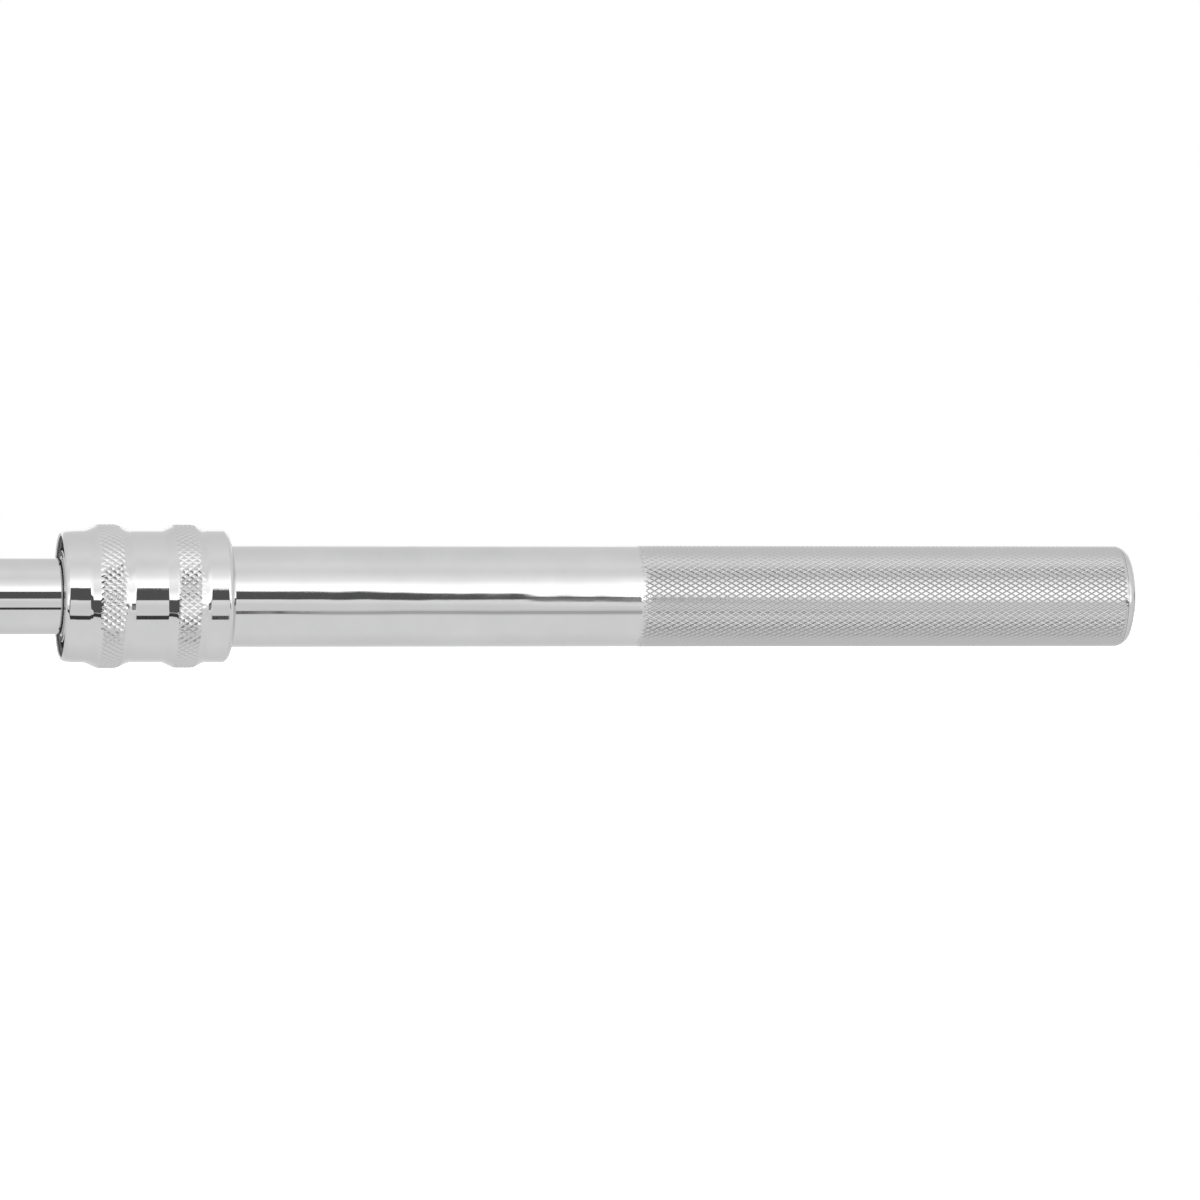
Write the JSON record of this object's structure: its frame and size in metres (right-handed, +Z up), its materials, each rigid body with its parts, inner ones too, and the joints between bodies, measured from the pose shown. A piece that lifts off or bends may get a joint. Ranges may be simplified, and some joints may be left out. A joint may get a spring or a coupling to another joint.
{
  "type": "extendable breaker bar",
  "caption": "Chromed square-drive breaker bar with a pivoting head and a knurled tube handle that slides out along a round bar, held by a spring-loaded ball-lock sleeve.",
  "frame": {"origin": "centre of the flat tip of the drive square, head in line with the bar", "axes": "+X along the bar from the drive square to the end of the grip, +Z up along the head's pivot pin, +Y completes the right-handed frame"},
  "size_m": [0.61, 0.0358, 0.0358],
  "materials": {
    "chrome": "polished chrome plate",
    "chrome_knurled": "chrome plate over a diamond knurl",
    "satin_steel": "turned and ground steel",
    "bearing_steel": "polished hard steel",
    "spring_steel": "oiled spring wire",
    "black_oxide": "black oxide, satin",
    "bronze": "turned bearing bronze",
    "rubber": "matte"
  },
  "bodies": {
    "bar": {"extension_bar": "chrome", "head_pin": "satin_steel", "head_friction_ball": "bearing_steel", "head_friction_spring": "spring_steel", "tail_bush": "bronze", "tail_clip": "black_oxide"},
    "drive_head": {"drive_head": "chrome", "drive_detent_spring": "spring_steel"},
    "drive_detent_ball": {"drive_detent_ball": "bearing_steel"},
    "wiper_ring": {"wiper_ring": "rubber"},
    "handle": {"handle_tube": "chrome_knurled", "end_plug": "chrome", "nose_bush": "satin_steel", "bush_pin_1": "bearing_steel", "bush_pin_2": "bearing_steel", "stop_ring": "spring_steel", "sleeve_spring": "spring_steel"},
    "sleeve_washer": {"sleeve_washer": "satin_steel"},
    "lock_sleeve": {"lock_sleeve": "chrome_knurled", "sleeve_snap_ring": "black_oxide"},
    "lock_ball_1": {"lock_ball_1": "bearing_steel"},
    "lock_ball_2": {"lock_ball_2": "bearing_steel"},
    "lock_ball_3": {"lock_ball_3": "bearing_steel"},
    "lock_ball_4": {"lock_ball_4": "bearing_steel"}
  },
  "joints": [
    {"name": "head_pivot", "type": "hinge", "parent": "bar", "child": "drive_head", "pos_m": [0.033, 0, 0], "axis": [0, 0, 1], "range_deg": [-95, 95]},
    {"name": "detent_press", "type": "slide", "parent": "drive_head", "child": "drive_detent_ball", "axis": [0, 1, 0], "range_m": [0, 0.0009], "stiffness_N_per_m": 600, "deforming": ["drive_detent_spring"]},
    {"name": "handle_extend", "type": "slide", "parent": "bar", "child": "wiper_ring", "axis": [1, 0, 0], "range_m": [0, 0.1905]},
    {"name": "handle_spin", "type": "hinge", "parent": "wiper_ring", "child": "handle", "pos_m": [0.4, 0, 0], "axis": [1, 0, 0], "continuous": true},
    {"name": "sleeve_slide", "type": "slide", "parent": "handle", "child": "sleeve_washer", "axis": [1, 0, 0], "range_m": [-0.006, 0], "stiffness_N_per_m": 800, "springref_m": -0.006, "deforming": ["sleeve_spring"]},
    {"name": "sleeve_spin", "type": "hinge", "parent": "sleeve_washer", "child": "lock_sleeve", "pos_m": [0.36, 0, 0], "axis": [1, 0, 0], "continuous": true},
    {"name": "lock_ball_1_in", "type": "slide", "parent": "handle", "child": "lock_ball_1", "axis": [0, 0, 1], "range_m": [-0.001, 0]},
    {"name": "lock_ball_2_in", "type": "slide", "parent": "handle", "child": "lock_ball_2", "axis": [0, 1, 0], "range_m": [-0.001, 0]},
    {"name": "lock_ball_3_in", "type": "slide", "parent": "handle", "child": "lock_ball_3", "axis": [0, 0, -1], "range_m": [-0.001, 0]},
    {"name": "lock_ball_4_in", "type": "slide", "parent": "handle", "child": "lock_ball_4", "axis": [0, -1, 0], "range_m": [-0.001, 0]}
  ],
  "couplings": [
    {"joint": "lock_ball_1_in", "follows": "sleeve_slide", "ratio": 0.1666},
    {"joint": "lock_ball_2_in", "follows": "sleeve_slide", "ratio": 0.1666},
    {"joint": "lock_ball_3_in", "follows": "sleeve_slide", "ratio": 0.1666},
    {"joint": "lock_ball_4_in", "follows": "sleeve_slide", "ratio": 0.1666}
  ]
}
